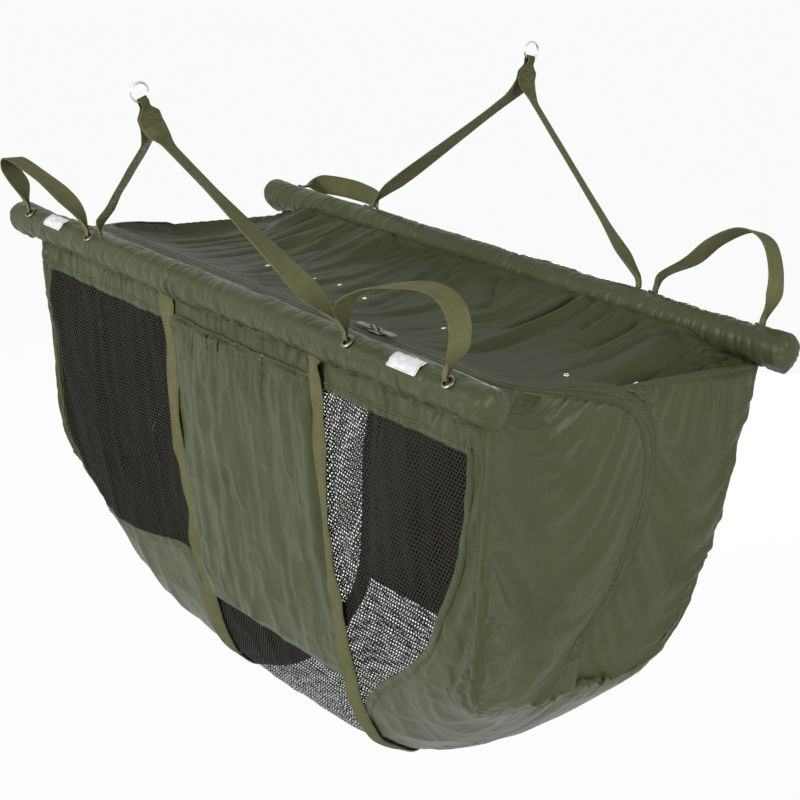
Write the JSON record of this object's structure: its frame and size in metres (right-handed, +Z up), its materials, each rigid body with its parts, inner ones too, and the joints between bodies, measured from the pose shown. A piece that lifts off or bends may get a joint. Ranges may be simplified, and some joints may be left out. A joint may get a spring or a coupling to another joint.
{
  "type": "floating retainer sling",
  "caption": "Zipped fabric and mesh bag hung between two foam floats, with webbing hangers, rings and carrying loops, for keeping a fish in the water and lifting it",
  "frame": {"origin": "the hang point: midway between the floats, above the bag at the height of the two rings, where one hook gathers them", "axes": "+X along the floats towards the end whose corner is nearest in the picture, +Y from the front float with the labels to the back float, +Z up"},
  "size_m": [0.9034, 0.519, 0.7244],
  "materials": {
    "foam_back": "closed-cell foam",
    "sleeve_back": "coated nylon, satin",
    "cap_back_left": "coated nylon, satin",
    "cap_back_right": "coated nylon, satin",
    "top_band_back": "coated nylon, satin",
    "net_back": "knitted mesh",
    "border_back_left": "coated nylon, satin",
    "border_back_right": "coated nylon, satin",
    "centre_panel_back": "coated nylon, satin",
    "strap_back_left": "woven webbing",
    "strap_back_right": "woven webbing",
    "end_back_left": "coated nylon, satin",
    "end_back_right": "coated nylon, satin",
    "lid": "coated nylon, satin",
    "zip_tape_back": "coated nylon, satin",
    "eyelet_back_left_inner": "plated, bright",
    "eyelet_back_left_outer": "plated, bright",
    "eyelet_back_right_inner": "plated, bright",
    "eyelet_back_right_outer": "plated, bright",
    "foam_front": "closed-cell foam",
    "sleeve_front": "coated nylon, satin",
    "cap_front_left": "coated nylon, satin",
    "cap_front_right": "coated nylon, satin",
    "top_band_front": "coated nylon, satin",
    "net_front": "knitted mesh",
    "border_front_left": "coated nylon, satin",
    "border_front_right": "coated nylon, satin",
    "centre_panel_front": "coated nylon, satin",
    "strap_front_left": "woven webbing",
    "strap_front_right": "woven webbing",
    "end_front_left": "coated nylon, satin",
    "end_front_right": "coated nylon, satin",
    "lid_strip": "coated nylon, satin",
    "zip_tape_front": "coated nylon, satin",
    "label_left": "blank reflective patch",
    "label_right": "blank reflective patch",
    "eyelet_front_left_inner": "plated, bright",
    "eyelet_front_left_outer": "plated, bright",
    "eyelet_front_right_inner": "plated, bright",
    "eyelet_front_right_outer": "plated, bright",
    "hanger_front": "woven webbing",
    "ring_front": "plated, bright",
    "hanger_back": "woven webbing",
    "ring_back": "plated, bright",
    "handle_front_right": "woven webbing",
    "handle_front_left": "woven webbing",
    "handle_back_right": "woven webbing",
    "handle_back_left": "woven webbing",
    "slider_left": "plated, bright",
    "pull_left": "plated, bright",
    "slider_right": "plated, bright",
    "pull_right": "plated, bright"
  },
  "bodies": {
    "back_half": {"foam_back": "foam_back", "sleeve_back": "sleeve_back", "cap_back_left": "cap_back_left", "cap_back_right": "cap_back_right", "top_band_back": "top_band_back", "net_back": "net_back", "border_back_left": "border_back_left", "border_back_right": "border_back_right", "centre_panel_back": "centre_panel_back", "strap_back_left": "strap_back_left", "strap_back_right": "strap_back_right", "end_back_left": "end_back_left", "end_back_right": "end_back_right", "lid": "lid", "zip_tape_back": "zip_tape_back", "eyelet_back_left_inner": "eyelet_back_left_inner", "eyelet_back_left_outer": "eyelet_back_left_outer", "eyelet_back_right_inner": "eyelet_back_right_inner", "eyelet_back_right_outer": "eyelet_back_right_outer"},
    "front_half": {"foam_front": "foam_front", "sleeve_front": "sleeve_front", "cap_front_left": "cap_front_left", "cap_front_right": "cap_front_right", "top_band_front": "top_band_front", "net_front": "net_front", "border_front_left": "border_front_left", "border_front_right": "border_front_right", "centre_panel_front": "centre_panel_front", "strap_front_left": "strap_front_left", "strap_front_right": "strap_front_right", "end_front_left": "end_front_left", "end_front_right": "end_front_right", "lid_strip": "lid_strip", "zip_tape_front": "zip_tape_front", "label_left": "label_left", "label_right": "label_right", "eyelet_front_left_inner": "eyelet_front_left_inner", "eyelet_front_left_outer": "eyelet_front_left_outer", "eyelet_front_right_inner": "eyelet_front_right_inner", "eyelet_front_right_outer": "eyelet_front_right_outer"},
    "hanger_front": {"hanger_front": "hanger_front"},
    "ring_front": {"ring_front": "ring_front"},
    "hanger_back": {"hanger_back": "hanger_back"},
    "ring_back": {"ring_back": "ring_back"},
    "handle_front_right": {"handle_front_right": "handle_front_right"},
    "handle_front_left": {"handle_front_left": "handle_front_left"},
    "handle_back_right": {"handle_back_right": "handle_back_right"},
    "handle_back_left": {"handle_back_left": "handle_back_left"},
    "slider_left": {"slider_left": "slider_left"},
    "pull_left": {"pull_left": "pull_left"},
    "slider_right": {"slider_right": "slider_right"},
    "pull_right": {"pull_right": "pull_right"}
  },
  "joints": [
    {"name": "front_half_open", "type": "hinge", "parent": "back_half", "child": "front_half", "pos_m": [0, -0.04392, -0.69292], "axis": [1, 0, 0], "range_deg": [0, 90]},
    {"name": "hanger_front_swing", "type": "hinge", "parent": "front_half", "child": "hanger_front", "pos_m": [0, -0.18644, -0.19252], "axis": [1, 0, 0], "range_deg": [-62.8, 82.2]},
    {"name": "ring_front_swing", "type": "hinge", "parent": "hanger_front", "child": "ring_front", "pos_m": [0, -0.2624, -0.01183], "axis": [0, -0.9219, -0.3875], "range_deg": [-100, 100]},
    {"name": "hanger_back_swing", "type": "hinge", "parent": "back_half", "child": "hanger_back", "pos_m": [0, 0.18644, -0.19252], "axis": [-1, 0, 0], "range_deg": [-50.2, 94.8]},
    {"name": "ring_back_swing", "type": "hinge", "parent": "hanger_back", "child": "ring_back", "pos_m": [0, 0.22328, 0.01219], "axis": [0, -0.9842, 0.1771], "range_deg": [-100, 100]},
    {"name": "handle_front_right_swing", "type": "hinge", "parent": "front_half", "child": "handle_front_right", "pos_m": [0, -0.19492, -0.196], "axis": [1, 0, 0], "range_deg": [-47, 123]},
    {"name": "handle_front_left_swing", "type": "hinge", "parent": "front_half", "child": "handle_front_left", "pos_m": [0, -0.19492, -0.196], "axis": [1, 0, 0], "range_deg": [-40, 130]},
    {"name": "handle_back_right_swing", "type": "hinge", "parent": "back_half", "child": "handle_back_right", "pos_m": [0, 0.19492, -0.196], "axis": [-1, 0, 0], "range_deg": [-50, 120]},
    {"name": "handle_back_left_swing", "type": "hinge", "parent": "back_half", "child": "handle_back_left", "pos_m": [0, 0.19492, -0.196], "axis": [-1, 0, 0], "range_deg": [-130, 40]},
    {"name": "slider_left_run", "type": "slide", "parent": "back_half", "child": "slider_left", "axis": [1, 0, 0], "range_m": [-0.5, 0]},
    {"name": "pull_left_lift", "type": "hinge", "parent": "slider_left", "child": "pull_left", "pos_m": [0.1876, -0.11808, -0.20942], "axis": [0, 1, 0], "range_deg": [0, 88]},
    {"name": "slider_right_run", "type": "slide", "parent": "back_half", "child": "slider_right", "axis": [1, 0, 0], "range_m": [0, 0.12]},
    {"name": "pull_right_lift", "type": "hinge", "parent": "slider_right", "child": "pull_right", "pos_m": [0.1994, -0.11808, -0.20942], "axis": [0, -1, 0], "range_deg": [0, 88]}
  ]
}
